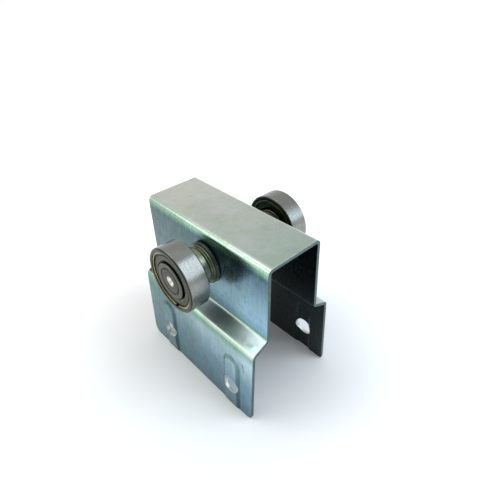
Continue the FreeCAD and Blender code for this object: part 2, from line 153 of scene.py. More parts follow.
def grid_lines(stops, zones, pitch):
    """Positions through every stop, spread evenly in between at each zone's own pitch."""
    lines = []
    for start, end in zip(stops, stops[1:]):
        middle = (start + end) / 2
        here = next((fine for low, high, fine in zones if low < middle < high), pitch)
        cells = max(1, round((end - start) / here))
        lines.append(np.linspace(start, end, cells, endpoint=False))
    lines.append(np.array([stops[-1]]))
    return np.concatenate(lines)


def around_hole(x, s, centre, radius, core, block):
    """Grid points moved so that a square core in the grid opens into a round hole.

    A point at Chebyshev distance c from the centre goes to a blend of the circle, at c = core,
    and its own place, at c = block, along its own direction.
    """
    u, v = x - centre[0], s - centre[1]
    reach = np.maximum(np.abs(u), np.abs(v))
    safe = np.maximum(reach, 1e-9)
    qu, qv = u / safe, v / safe
    t = np.clip((reach - core) / (block - core), 0, 1)
    scale = (1 - t) * radius / np.maximum(np.hypot(qu, qv), 1e-9) + t * block
    near = reach <= block
    return np.where(near, centre[0] + qu * scale, x), np.where(near, centre[1] + qv * scale, s)


def round_corner(x, s, corner, inward, reach):
    """Grid points of a square corner moved into a quarter ellipse.

    With p and q the shares of the reach along each side, from the ellipse's centre, a point goes
    to (p sqrt(1 - q^2 / 2), q sqrt(1 - p^2 / 2)).
    """
    centre = (corner[0] + inward[0] * reach[0], corner[1] + inward[1] * reach[1])
    p = (centre[0] - x) * inward[0] / reach[0]
    q = (centre[1] - s) * inward[1] / reach[1]
    near = (p > 0) & (q > 0)
    p, q = np.clip(p, 0, 1), np.clip(q, 0, 1)
    new_x = centre[0] - inward[0] * reach[0] * p * np.sqrt(1 - q * q / 2)
    new_s = centre[1] - inward[1] * reach[1] * q * np.sqrt(1 - p * p / 2)
    return np.where(near, new_x, x), np.where(near, new_s, s)


def pressed_arch(x, s, half_width):
    """How far a screw place is pressed out, and how much of each point is bevel.

    The outline's inside distance is half_width less |x| below the arch's centre, and half_width
    less the distance from that centre above it. The height is a smooth step of that distance over
    the bevel, 3t^2 - 2t^3, and dies away towards the free edge at the foot.
    """
    height = np.zeros_like(x)
    bevel = np.zeros_like(x)
    foot = np.clip(s / fade_height, 0, 1)
    fading = least_height + (1 - least_height) * foot * foot * (3 - 2 * foot)
    for middle in screw_middles:
        above = np.maximum(s - boss_top, 0)
        inside = half_width - np.hypot(x - middle, above)
        t = np.clip((inside + bevel_softness) / (bevel_width + 2 * bevel_softness), 0, 1)
        height = np.maximum(height, boss_depth * fading * t * t * (3 - 2 * t))
        bevel = np.maximum(bevel, 4 * t * (1 - t))
    return height, bevel


def shell(outer, inner, kept):
    """A closed sheet from two equal grids of points and a mask of the cells that are kept.

    The outer grid's cells face outwards, the inner grid's are turned round, and each free edge of
    the kept cells gets a rim face between the two grids.
    """
    rows, columns = outer.shape[:2]
    count = rows * columns
    index = np.arange(count).reshape(rows, columns)
    cells = np.stack([index[:-1, :-1], index[1:, :-1], index[1:, 1:], index[:-1, 1:]], -1)[kept]
    starts = cells.ravel()
    ends = np.roll(cells, -1, axis=1).ravel()
    free = ~np.isin(starts * count + ends, ends * count + starts)
    rim = np.stack([ends[free], starts[free], starts[free] + count, ends[free] + count], -1)
    faces = np.concatenate([cells, cells[:, ::-1] + count, rim])
    on_rim = np.arange(len(faces)) >= 2 * len(cells)
    used, renumbered = np.unique(faces, return_inverse=True)
    points = np.concatenate([outer.reshape(-1, 3), inner.reshape(-1, 3)])
    return points[used], renumbered.reshape(faces.shape), used, on_rim


def add_piece(name, points, faces, body, stands_for):
    """A smooth mesh from points in millimetres, riding on a body in place of a node of the frame."""
    mesh = bpy.data.meshes.new(name)
    mesh.from_pydata((points / 1000).tolist(), [], faces.tolist())
    mesh.shade_smooth()
    piece = bpy.data.objects.new(name, mesh)
    bpy.context.scene.collection.objects.link(piece)
    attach(piece, body)
    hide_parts(stands_for)
    return piece


half_section = [(foot_half, 0), (shoulder_half, shoulder_height), (neck_half, neck_height),
                (crown_half, bracket_high[2])]
bend_outside = bend_inside + sheet
section = folded_section(
    [(-y, z) for y, z in half_section] + half_section[::-1],
    [bend_outside, bend_inside, bend_outside, bend_outside, bend_inside, bend_outside])
section_starts = section[0]
strip_width = section_starts[-1]
axle_up = section_starts[4] + (axle_z - section[1][4, 1]) / math.cos(wall_lean)

# the grid has lines at the edges of each square that opens into a hole, and at the corner roundings
screw_core, screw_block = 2.6, 4.9
axle_core, axle_block = 2.9, 6.0
along_pitch, across_pitch = 1.3, 1.2
axle_pitch, screw_pitch, boss_pitch = 0.8, 0.33, 0.4
cells_in_a_bend = 9
x_stops = [-half_length, half_length, -half_length + near_foot_radius, half_length - near_foot_radius,
           -half_length + far_foot_radius, half_length - far_foot_radius,
           axle_x - axle_block, axle_x - axle_core, axle_x + axle_core, axle_x + axle_block]
x_zones = [(axle_x - axle_block, axle_x + axle_block, axle_pitch)]
for middle in screw_middles:
    x_stops += [middle + side * reach for side in (-1, 1) for reach in (screw_core, screw_block)]
    x_zones.append((middle - screw_block, middle + screw_block, screw_pitch))
foot_stops = [0, far_foot_radius, short_foot_radius, near_foot_radius,
              screw_up - screw_block, screw_up - screw_core,
              screw_up + screw_core, screw_up + screw_block, boss_top + boss_half + 1]
wall_stops = [axle_up + side * reach for side in (-1, 1) for reach in (axle_core, axle_block)]
s_stops = foot_stops + wall_stops
s_stops += [strip_width - stop for stop in s_stops] + section_starts[1:-1].tolist()
s_zones = [(start, end, (end - start) / cells_in_a_bend)
           for start, end in zip(section_starts[1::2], section_starts[2::2])]
s_zones += [(near_foot_radius, foot_stops[-1], boss_pitch),
            (strip_width - foot_stops[-1], strip_width - near_foot_radius, boss_pitch)]
x_lines = grid_lines(sorted(x_stops), x_zones, along_pitch)
s_lines = grid_lines(sorted(s_stops), s_zones, across_pitch)
x, s = np.meshgrid(x_lines, s_lines, indexing="ij")
cell_x = (x[:-1, :-1] + x[1:, 1:]) / 2
cell_s = (s[:-1, :-1] + s[1:, 1:]) / 2

holes = [((middle, up), screw_radius, screw_core, screw_block)
         for middle in screw_middles for up in (screw_up, strip_width - screw_up)]
holes += [((axle_x, up), axle_hole_radius, axle_core, axle_block)
          for up in (axle_up, strip_width - axle_up)]
kept = np.ones(cell_x.shape, bool)
for centre, radius, core, block in holes:
    kept &= np.maximum(np.abs(cell_x - centre[0]), np.abs(cell_s - centre[1])) > core
    x, s = around_hole(x, s, centre, radius, core, block)
for end, up in ((-1, near_foot_radius), (1, short_foot_radius)):
    x, s = round_corner(x, s, (end * half_length, 0), (-end, 1), (near_foot_radius, up))
    x, s = round_corner(x, s, (end * half_length, strip_width), (-end, -1),
                        (far_foot_radius, far_foot_radius))

from_foot = np.minimum(s, strip_width - s)
place, normal = on_section(section, s)
# the press leaves the flats a few hundredths of a millimetre out of true
out_of_true = 0.035
dents = np.sin(x / 6.1 + 0.4) * np.sin(s / 7.3 + 1.0)
twist = 0.6 * np.sin(x / 13.0 - s / 9.0)
wander = out_of_true * (dents + twist)


def sheet_surface(depth, lift):
    """Points this deep under the section's outside, lifted along its normal.

    The shift along the normal is lift + wander - depth; no point goes below the feet or over the top.
    """
    shift = lift + wander - depth
    y = place[..., 0] + normal[..., 0] * shift
    z = place[..., 1] + normal[..., 1] * shift
    z = np.clip(z, 0, bracket_high[2])
    return np.stack([x, y, z], -1)


raised, bevel = pressed_arch(x, from_foot, boss_half)
hollow = pressed_arch(x, from_foot, hollow_half)[0]
outside = sheet_surface(out_of_true, raised)
inside = sheet_surface(out_of_true + sheet, hollow)
# the press draws the free edge up a little where it raised the metal
for surface, lift in ((outside, raised), (inside, hollow)):
    surface[..., 2] += draw_share * lift * np.clip(1 - from_foot / draw_height, 0, 1) ** 2
points, faces, used, on_rim = shell(outside, inside, kept)
bracket = add_piece("bracket_sheet", points, faces, "carrier", "bracket")

# where each point lies on the flat blank, in metres, and whether it is inside the folded channel
grid_place = np.stack([x, s, np.zeros_like(x)], -1).reshape(-1, 3) / 1000
on_blank = np.concatenate([grid_place, grid_place + (0, 0, 1)])[used]
attribute = bracket.data.attributes.new("on_blank", "FLOAT_VECTOR", "POINT")
attribute.data.foreach_set("vector", on_blank.astype(np.float32).ravel())
# how much of each point is screw-place bevel; the sheet's colour darkens the bevels by this, as painted
# shade
bevel_shade = np.concatenate([bevel.ravel(), bevel.ravel()])[used]
attribute = bracket.data.attributes.new("bevel_shade", "FLOAT", "POINT")
attribute.data.foreach_set("value", bevel_shade.astype(np.float32))

# the sheet's own finish, the blanked outline and the pierced holes are three surfaces; the outline
# and the holes take a darker and a lighter copy of one sheared steel, painted shade and painted light
face_middles = on_blank[faces].mean(1) * 1000
outline_reach = 2.0
at_outline = np.minimum.reduce([half_length - np.abs(face_middles[:, 0]), face_middles[:, 1],
                                strip_width - face_middles[:, 1]]) < outline_reach
finish = np.where(on_rim, np.where(at_outline, 1, 2), 0).astype(np.int32)
bracket.data.polygons.foreach_set("material_index", finish)

sheared = bracket.modifiers.new("sheared edges", "BEVEL")
sheared.limit_method = "ANGLE"
sheared.angle_limit = math.radians(50)
sheared.width = 0.00016
sheared.segments = 2
sheared.harden_normals = True


def add_node(tree, kind, inputs=None, **settings):
    """A shader node with its settings; each input is linked from a socket or set to a value."""
    made = tree.nodes.new("ShaderNode" + kind)
    for name, value in settings.items():
        setattr(made, name, value)
    for name, value in (inputs or {}).items():
        if isinstance(value, bpy.types.NodeSocket):
            tree.links.new(value, made.inputs[name])
        else:
            made.inputs[name].default_value = value
    return made


def maths(tree, operation, *values):
    """What one sum on numbers or sockets gives."""
    return add_node(tree, "Math", dict(enumerate(values)), operation=operation).outputs[0]


def vector_maths(tree, operation, first, second):
    """What one sum on two vectors gives, as a vector."""
    return add_node(tree, "VectorMath", {0: first, 1: second}, operation=operation).outputs[0]


def new_material(name):
    """An empty material and its Principled shader."""
    material = bpy.data.materials.new(name)
    material.use_nodes = True
    tree = material.node_tree
    tree.nodes.clear()
    shader = add_node(tree, "BsdfPrincipled")
    add_node(tree, "OutputMaterial", {"Surface": shader.outputs["BSDF"]})
    return material, tree, shader


def remap(tree, value, from_low, from_high, to_low, to_high):
    """A value stretched from one range to another, clamped at both ends."""
    inputs = {"Value": value, "From Min": from_low, "From Max": from_high,
              "To Min": to_low, "To Max": to_high}
    return add_node(tree, "MapRange", inputs).outputs["Result"]


def mixed(tree, factor, first, second, blend="MIX"):
    """Two colours mixed by a factor."""
    node = add_node(tree, "Mix", {"Factor": factor}, data_type="RGBA", blend_type=blend)
    for socket, value in ((node.inputs[6], first), (node.inputs[7], second)):
        if isinstance(value, bpy.types.NodeSocket):
            tree.links.new(value, socket)
        else:
            socket.default_value = (*value, 1)
    return node.outputs[2]


def dress_metal(tree, shader, colour, metallic, roughness, height, strength, depth):
    """A colour, a metal share, a roughness and a fine relief put on a Principled shader."""
    tree.links.new(colour, shader.inputs["Base Color"])
    shader.inputs["Metallic"].default_value = metallic
    tree.links.new(roughness, shader.inputs["Roughness"])
    relief = add_node(tree, "Bump", {"Height": height, "Strength": strength, "Distance": depth})
    tree.links.new(relief.outputs["Normal"], shader.inputs["Normal"])


def new_group(name, inputs, outputs):
    """A shader node group with named sockets, each given as (name, kind, default)."""
    group = bpy.data.node_groups.new(name, "ShaderNodeTree")
    for socket_name, kind, default in inputs:
        socket = group.interface.new_socket(socket_name, in_out="INPUT", socket_type=kind)
        if default is not None:
            socket.default_value = default
    for socket_name, kind in outputs:
        group.interface.new_socket(socket_name, in_out="OUTPUT", socket_type=kind)
    source = group.nodes.new("NodeGroupInput").outputs
    result = group.nodes.new("NodeGroupOutput").inputs
    return group, source, result


def use_group(tree, group, inputs):
    """A group placed in a material, with its own values."""
    node = add_node(tree, "Group", node_tree=group)
    for name, value in inputs.items():
        if isinstance(value, bpy.types.NodeSocket):
            tree.links.new(value, node.inputs[name])
        else:
            node.inputs[name].default_value = value
    return node.outputs


def make_streaks():
    """Fine lines of the rolling mill or the grinder: noise stretched along one direction."""
    group, source, result = new_group(
        "streaks",
        [("Vector", "NodeSocketVector", None), ("Line Size", "NodeSocketVector", (1, 1, 1))],
        [("Streaks", "NodeSocketFloat")])
    stretched = vector_maths(group, "DIVIDE", source["Vector"], source["Line Size"])
    noise = add_node(group, "TexNoise", {"Vector": stretched, "Scale": 1.0, "Detail": 4.0,
                                         "Roughness": 0.62}).outputs["Fac"]
    group.links.new(remap(group, noise, 0.3, 0.7, 0, 1), result["Streaks"])
    return group


def make_blotches():
    """Cloudy patches, such as oil, dust or a passed hand leaves: soft noise cut at a cover."""
    group, source, result = new_group(
        "blotches",
        [("Vector", "NodeSocketVector", None), ("Patch Size", "NodeSocketFloat", 0.01),
         ("Cover", "NodeSocketFloat", 0.5), ("Softness", "NodeSocketFloat", 0.1)],
        [("Mask", "NodeSocketFloat")])
    scale = maths(group, "DIVIDE", 1.0, source["Patch Size"])
    noise = add_node(group, "TexNoise", {"Vector": source["Vector"], "Scale": scale, "Detail": 5.0,
                                         "Roughness": 0.6, "Distortion": 0.4}).outputs["Fac"]
    middle = remap(group, source["Cover"], 0, 1, 0.75, 0.25)
    low = maths(group, "SUBTRACT", middle, source["Softness"])
    high = maths(group, "ADD", middle, source["Softness"])
    group.links.new(remap(group, noise, low, high, 0, 1), result["Mask"])
    return group


streaks = make_streaks()
blotches = make_blotches()


def patches(tree, place, size, cover, softness):
    """The mask of the blotches group, for patches of a size in metres over a share of a surface."""
    return use_group(tree, blotches, {"Vector": place, "Patch Size": size, "Cover": cover,
                                      "Softness": softness})["Mask"]


def make_scratch():
    """One short handling scratch: how near a point on the blank is to a line between two places."""
    group, source, result = new_group(
        "scratch",
        [("Vector", "NodeSocketVector", None), ("Start", "NodeSocketVector", (0, 0, 0)),
         ("End", "NodeSocketVector", (0, 0.003, 0)), ("Width", "NodeSocketFloat", 0.00025)],
        [("Mask", "NodeSocketFloat")])
    wobble = add_node(group, "TexNoise", {"Vector": source["Vector"], "Scale": 900.0}).outputs["Color"]
    wobble = vector_maths(group, "SUBTRACT", wobble, (0.5, 0.5, 0.5))
    wobble = add_node(group, "VectorMath", {0: wobble, "Scale": 0.0012}, operation="SCALE").outputs[0]
    place = vector_maths(group, "ADD", source["Vector"], wobble)
    line = vector_maths(group, "SUBTRACT", source["End"], source["Start"])
    away = vector_maths(group, "SUBTRACT", place, source["Start"])
    along = add_node(group, "VectorMath", {0: away, 1: line}, operation="DOT_PRODUCT").outputs["Value"]
    square = add_node(group, "VectorMath", {0: line, 1: line}, operation="DOT_PRODUCT").outputs["Value"]
    share = add_node(group, "Math", {0: along, 1: square}, operation="DIVIDE", use_clamp=True).outputs[0]
    foot = add_node(group, "VectorMath", {0: line, "Scale": share}, operation="SCALE").outputs[0]
    gap = add_node(group, "VectorMath", {0: away, 1: foot}, operation="DISTANCE").outputs["Value"]
    half = maths(group, "MULTIPLY", source["Width"], 0.5)
    group.links.new(remap(group, gap, half, source["Width"], 1, 0), result["Mask"])
    return group


scratch = make_scratch()


def colour_ramp(tree, factor, stops):
    """A colour that follows a value through (place, colour) stops."""
    node = add_node(tree, "ValToRGB", {"Fac": factor})
    elements = node.color_ramp.elements
    while len(elements) < len(stops):
        elements.new(0.5)
    for element, (where, tint) in zip(elements, stops):
        element.position = where
        element.color = (*tint, 1)
    return node.outputs["Color"]


def zinc_plate():
    """Bright zinc with a thin blue-green passivation, brushed by the mill across the blank.

    Two rows of tints, one for each end of the blank, follow its width from foot over crown to foot
    and are mixed along its length. Besides the passivation's tone they hold painted light and shade:
    the skirts darken towards the feet (painted shade), the walls towards the top (painted reflection),
    the slopes are dark at the -X end and bright at the +X end (painted reflection and highlight), the
    bends carry pale stops with green bands beside them (painted highlights and painted dark reflections),
    and the walls, slopes and skirts are far lighter at the +X end (partly the passivation's drift, partly
    painted light). Green and lilac patches, mill streaks, dirt, pits and one scratch lie over them; the
    bevels of the screw places and the channel's inside are darker, as painted shade.
    """
    material, tree, shader = new_material("zinc_plated_sheet")
    blank = add_node(tree, "Attribute", attribute_name="on_blank").outputs["Vector"]
    bevel_shade = add_node(tree, "Attribute", attribute_name="bevel_shade").outputs["Fac"]
    apart = add_node(tree, "SeparateXYZ", {0: blank}).outputs
    share = maths(tree, "DIVIDE", apart["Y"], strip_width / 1000)
    bends = (section_starts[1:7] / strip_width).tolist()
    foot_bend, foot_end, neck_bend, neck_end, top_bend, top_end = bends

    def both_sides(foot, middle, skirt, slope, low_wall, high_wall, edge, crown, green, pale):
        """Colour stops from one foot to the crown's middle and back down the other side."""
        # pale, at the shoulder and neck bends, and edge, over the crown's bend, are painted highlights;
        # green, beside the bends, is a painted dark reflection; low_wall and high_wall make the wall darker
        # towards its top, a painted reflection
        stops = [(0.0, foot), (foot_bend * 0.5, middle), (foot_bend - 0.02, skirt),
                 (foot_bend, green), (foot_bend + 0.012, pale), (foot_end, slope),
                 (neck_bend - 0.002, slope), (neck_bend + 0.004, pale), (neck_end + 0.002, green),
                 (neck_end + 0.012, low_wall), (top_bend - 0.012, high_wall),
                 (top_bend, green), (top_bend + 0.012, edge), (top_end, crown)]
        return stops + [(1 - where, tint) for where, tint in reversed(stops)]

    # each row holds painted light besides the tint: darker skirt feet and wall tops, dark or bright slopes
    # and bright bends are painted shade, painted reflection and painted highlight
    left = both_sides((0.11, 0.21, 0.265), (0.14, 0.25, 0.30), (0.125, 0.24, 0.235), (0.022, 0.032, 0.028),
                      (0.12, 0.19, 0.19), (0.07, 0.125, 0.13), (0.50, 0.63, 0.50), (0.64, 0.63, 0.56),
                      (0.17, 0.31, 0.23), (0.31, 0.43, 0.34))
    right = both_sides((0.105, 0.205, 0.275), (0.23, 0.38, 0.50), (0.66, 0.86, 0.98), (0.46, 0.58, 0.60),
                       (0.50, 0.75, 0.97), (0.07, 0.135, 0.19), (0.62, 0.77, 0.65), (0.44, 0.52, 0.46),
                       (0.30, 0.54, 0.40), (0.92, 0.97, 0.93))
    drift = add_node(tree, "TexNoise", {"Vector": blank, "Scale": 55.0, "Detail": 2.0}).outputs["Fac"]
    drift = remap(tree, drift, 0.3, 0.7, -0.012, 0.012)
    across = maths(tree, "ADD", apart["X"], drift)
    end_to_end = remap(tree, across, -0.022, 0.026, 0, 1)
    tinted = mixed(tree, end_to_end, colour_ramp(tree, share, left), colour_ramp(tree, share, right))

    from_middle = maths(tree, "SUBTRACT", share, 0.5)
    from_middle = maths(tree, "ABSOLUTE", from_middle)
    off_crown = remap(tree, from_middle, 0.5 - top_end, 0.5 - top_bend, 0.3, 1)

    green = patches(tree, blank, 0.011, 0.42, 0.12)
    green = maths(tree, "MULTIPLY", green, off_crown)
    tinted = mixed(tree, remap(tree, green, 0, 1, 0, 0.6), tinted, (0.85, 1.0, 0.76), "MULTIPLY")
    shifted = vector_maths(tree, "ADD", blank, (0.31, 0.17, 0.0))
    lilac = patches(tree, shifted, 0.007, 0.36, 0.12)
    tinted = mixed(tree, remap(tree, lilac, 0, 1, 0, 0.5), tinted, (0.62, 0.58, 0.70), "OVERLAY")

    grain = use_group(tree, streaks, {"Vector": blank, "Line Size": (0.0004, 0.014, 1)})["Streaks"]
    fine = use_group(tree, streaks, {"Vector": shifted, "Line Size": (0.0009, 0.005, 1)})["Streaks"]
    past_neck = remap(tree, from_middle, 0.5 - neck_end, 0.5 - neck_bend, 0, 1)
    before_foot = remap(tree, from_middle, 0.5 - foot_end, 0.5 - foot_bend, 1, 0)
    burnished = maths(tree, "MULTIPLY", past_neck, before_foot)
    plain = maths(tree, "MULTIPLY", off_crown, remap(tree, burnished, 0, 1, 1, 0.3))
    lines = maths(tree, "MULTIPLY", remap(tree, grain, 0, 1, 0.65, 0), plain)
    tinted = mixed(tree, lines, tinted, (0.55, 0.62, 0.64), "MULTIPLY")
    tinted = mixed(tree, remap(tree, fine, 0.5, 1, 0, 0.10), tinted, (0.55, 0.66, 0.68))
    dirt = patches(tree, blank, 0.0035, 0.3, 0.07)
    tinted = mixed(tree, remap(tree, dirt, 0, 1, 0, 0.4), tinted, (0.75, 0.70, 0.62), "MULTIPLY")
    pits = patches(tree, shifted, 0.0006, 0.07, 0.03)
    tinted = mixed(tree, remap(tree, pits, 0, 1, 0, 0.6), tinted, (0.35, 0.42, 0.42), "MULTIPLY")
    # the screw places' bevels darkened: painted shade
    tinted = mixed(tree, remap(tree, bevel_shade, 0.1, 0.8, 0, 0.85), tinted, (0.36, 0.42, 0.38), "MULTIPLY")
    mark = use_group(tree, scratch, {"Vector": blank, "Start": (0.0249, 0.0245, 0),
                                     "End": (0.0256, 0.0212, 0), "Width": 0.0003})["Mask"]
    tinted = mixed(tree, remap(tree, mark, 0, 1, 0, 0.8), tinted, (0.03, 0.05, 0.07))
    # the channel's inside, nearly black: painted shade
    inside_painted_shade = mixed(tree, grain, (0.018, 0.028, 0.028), (0.034, 0.048, 0.048))
    tinted = mixed(tree, apart["Z"], tinted, inside_painted_shade)

    line_rough = maths(tree, "MULTIPLY", remap(tree, grain, 0, 1, 0.10, 0), plain)
    rough = maths(tree, "ADD", line_rough, remap(tree, dirt, 0, 1, 0.2, 0.32))
    rough = maths(tree, "ADD", rough, remap(tree, burnished, 0, 1, 0, 0.15))
    height = maths(tree, "SUBTRACT", grain, mark)
    dress_metal(tree, shader, tinted, 0.92, rough, height, 0.25, 0.00003)
    return material


def cut_steel(name, colour, dark, metallic, rough):
    """A sheared edge: burnished where the punch slid, torn and duller below, in lines across."""
    material, tree, shader = new_material(name)
    place = add_node(tree, "TexCoord").outputs["Object"]
    torn = add_node(tree, "TexNoise", {"Vector": place, "Scale": 2600.0, "Detail": 4.0}).outputs["Fac"]
    cloud = patches(tree, place, 0.002, 0.5, 0.15)
    tinted = mixed(tree, remap(tree, torn, 0.3, 0.7, 0.6, 0), colour, dark)
    tinted = mixed(tree, remap(tree, cloud, 0, 1, 0, 0.4), tinted, dark)
    roughness = remap(tree, torn, 0.3, 0.7, rough + 0.12, rough)
    dress_metal(tree, shader, tinted, metallic, roughness, torn, 0.3, 0.00004)
    return material


bracket.data.materials.append(zinc_plate())
# the outline's darker copy of the sheared steel is painted shade, the holes' lighter copy painted light
bracket.data.materials.append(cut_steel("outline_edge_painted_shade", (0.12, 0.17, 0.17), (0.04, 0.06, 0.06), 0.9, 0.32))
bracket.data.materials.append(cut_steel("hole_edge_painted_light", (0.72, 0.76, 0.72), (0.34, 0.38, 0.36), 0.5, 0.35))

# ==============================
# Axle
# One bright-turned steel pin right across the roller. Both ends are dimpled by the staking punch
# and spread over the bearings' bore chamfers, which holds everything on it.
# ==============================


def rounded(corners, arc_points=4):
    """A turned profile with rounded corners, from rows of (radius, place along the axle, rounding).

    Each corner becomes an arc tangent to both its sides, r / tan(half the angle between them) back
    from the corner, with one more point just past each end of the arc to keep the flats flat. A
    corner whose rounding is nought stays one point.
    """
    corners = np.array(corners, float)
    place, rounding = corners[:, :2], corners[:, 2]
    back = np.roll(place, 1, axis=0) - place
    onward = np.roll(place, -1, axis=0) - place
    back /= np.maximum(np.hypot(*back.T), 1e-9)[:, None]
    onward /= np.maximum(np.hypot(*onward.T), 1e-9)[:, None]
    angle = np.arccos(np.clip((back * onward).sum(1), -1, 1))
    angle = np.clip(angle, 1e-3, math.pi - 1e-3)
    cut = (rounding / np.tan(angle / 2))[:, None]
    inwards = back + onward
    inwards /= np.maximum(np.hypot(*inwards.T), 1e-9)[:, None]
    middle = place + inwards * (rounding / np.sin(angle / 2))[:, None]
    first = place + back * cut - middle
    last = place + onward * cut - middle
    turn = (math.pi - angle)[:, None, None]
    t = np.linspace(0, 1, arc_points + 1)[None, :, None]
    arc = (np.sin((1 - t) * turn) * first[:, None] + np.sin(t * turn) * last[:, None]) / np.sin(turn)
    arc = arc + middle[:, None]
    support = np.minimum(0.04, 0.4 * cut)[:, None]
    before = arc[:, :1] + back[:, None] * support
    after = arc[:, -1:] + onward[:, None] * support
    rows = np.concatenate([before, arc, after], axis=1)
    sharp = rounding == 0
    rows[sharp] = place[sharp][:, None]
    wanted = np.ones(rows.shape[:2], bool)
    wanted[sharp, 1:] = False
    return rows[wanted]


def moved(rows, middle, outward):
    """Rows of a profile set out from a place along the axle, outward being 1 or -1."""
    return [(radius, middle + outward * y, rounding) for radius, y, rounding in rows]


def revolve(name, profile, body, stands_for, steps=144, closed=True, start=0.0, turn=2 * math.pi):
    """A profile of (radius, y) rows carried round the axle's line.

    The point at angle a is (axle_x + radius cos a, y, axle_z + radius sin a). A closed profile runs
    anticlockwise in (radius, y); points on the axle's line are welded into one, and the two ends of
    a part turn are closed with flat faces.
    """
    whole = turn >= 2 * math.pi
    angles = start + np.linspace(0, turn, steps, endpoint=not whole)
    radius, y = profile[:, 0], profile[:, 1]
    points = np.stack([axle_x + np.cos(angles)[:, None] * radius,
                       np.broadcast_to(y, (len(angles), len(y))),
                       axle_z + np.sin(angles)[:, None] * radius], -1)
    index = np.arange(points.shape[0] * points.shape[1]).reshape(points.shape[:2])
    if whole:
        index = np.concatenate([index, index[:1]])
    if closed:
        index = np.concatenate([index, index[:, :1]], axis=1)
    faces = np.stack([index[:-1, :-1], index[1:, :-1], index[1:, 1:], index[:-1, 1:]], -1).reshape(-1, 4)
    piece = add_piece(name, points.reshape(-1, 3), faces, body, stands_for)
    work = bmesh.new()
    work.from_mesh(piece.data)
    bmesh.ops.remove_doubles(work, verts=work.verts, dist=1e-7)
    end_faces = bmesh.ops.holes_fill(work, edges=work.edges, sides=0)["faces"]
    bmesh.ops.recalc_face_normals(work, faces=work.faces)
    for face in work.faces:
        face.smooth = True
    for face in end_faces:
        face.smooth = False
        for edge in face.edges:
            edge.smooth = False
    work.to_mesh(piece.data)
    work.free()
    return piece


axle_end = axle_high[1]
stake_radius = (axle_high[2] - axle_low[2]) / 2
pin_radius = 3.98
stake_length = 0.6
dimple_radius = 1.9
dimple_depth = 1.6
dimple_tip_radius, dimple_tip_rise = 0.25, 0.08
end_rows = [(0, axle_end - dimple_depth, 0),
            (dimple_tip_radius, axle_end - dimple_depth + dimple_tip_rise, 0.12),
            (dimple_radius, axle_end, 0.16), (stake_radius, axle_end, 0.14),
            (pin_radius, axle_end - stake_length, 0.1)]
other_end = moved(end_rows[::-1], 0, -1)
axle = revolve("axle_pin", rounded(end_rows + other_end)[::-1], "carrier", "axle",
               closed=False)


def make_turning_marks():
    """Marks that run round the axle's line: noise that changes with radius and place along, not angle.

    Object coordinates give the distance from the axle's line, and the noise reads that distance
    and the place along the axle, with a slight drift round it so that the lines are not perfect.
    """
    group, source, result = new_group(
        "turning_marks", [("Line Width", "NodeSocketFloat", 0.0001)],
        [("Marks", "NodeSocketFloat"), ("Radius", "NodeSocketFloat")])
    place = add_node(group, "TexCoord").outputs["Object"]
    centred = vector_maths(group, "SUBTRACT", place, (axle_x / 1000, 0, axle_z / 1000))
    apart = add_node(group, "SeparateXYZ", {0: centred}).outputs
    flat = add_node(group, "CombineXYZ", {"X": apart["X"], "Z": apart["Z"]}).outputs[0]
    radius = add_node(group, "VectorMath", {0: flat}, operation="LENGTH").outputs["Value"]
    drift = vector_maths(group, "MULTIPLY", centred, (0.02, 0, 0.02))
    lines = add_node(group, "CombineXYZ", {"X": radius, "Y": apart["Y"]}).outputs[0]
    lines = vector_maths(group, "ADD", lines, drift)
    scale = maths(group, "DIVIDE", 1.0, source["Line Width"])
    noise = add_node(group, "TexNoise", {"Vector": lines, "Scale": scale, "Detail": 3.0,
                                         "Roughness": 0.6}).outputs["Fac"]
    group.links.new(remap(group, noise, 0.3, 0.7, 0, 1), result["Marks"])
    group.links.new(radius, result["Radius"])
    return group


turning_marks = make_turning_marks()


def turned_steel(name, colour, line_width, smooth, rough, film, bands=(), depth=0.5):
    """Steel cut on a lathe: darker marks round the axle, a film of oil or tarnish, and colour bands.

    Each band is (inner radius, outer radius, colour, strength), radii in millimetres, for a face
    that is toned differently between two radii. The marks and the film multiply the colour.
    """
    material, tree, shader = new_material(name)
    marks = use_group(tree, turning_marks, {"Line Width": line_width})
    place = add_node(tree, "TexCoord").outputs["Object"]
    tinted = colour
    soft = 0.0001
    for inner, outer, band, strength in bands:
        rise = remap(tree, marks["Radius"], inner / 1000 - soft, inner / 1000 + soft, 0, strength)
        fall = remap(tree, marks["Radius"], outer / 1000 - soft, outer / 1000 + soft, 1, 0)
        share = maths(tree, "MULTIPLY", rise, fall)
        tinted = mixed(tree, share, tinted, band)
    cut = remap(tree, marks["Marks"], 0, 1, depth, 0)
    tinted = mixed(tree, cut, tinted, (0.45, 0.47, 0.45), "MULTIPLY")
    cloud = patches(tree, place, 0.004, 0.45, 0.12)
    tinted = mixed(tree, remap(tree, cloud, 0, 1, 0, 0.8), tinted, film, "MULTIPLY")
    roughness = maths(tree, "ADD", remap(tree, marks["Marks"], 0, 1, rough, smooth),
                      remap(tree, cloud, 0, 1, 0, 0.06))
    dress_metal(tree, shader, tinted, 1.0, roughness, marks["Marks"], 0.3, 0.00002)
    return material


# the pin's near-black tint is painted shade on its end faces; the band from 3.9 to 4.7 mm is painted shade
# in the gap round the staked end, and the pin is lighter inside the dimple
axle.data.materials.append(turned_steel(
    "axle_steel", (0.05, 0.056, 0.044), 0.00016, 0.24, 0.42, (0.75, 0.75, 0.6),
    bands=[(-1.0, 1.75, (0.80, 0.85, 0.74), 0.95), (3.9, 4.7, (0.012, 0.013, 0.01), 0.9)]))

# ==============================
# Inner tube
# A plain plated tube threaded on the axle inside the channel, faced square at both ends. It keeps
# the two channel walls apart when the axle's ends are staked.
# ==============================

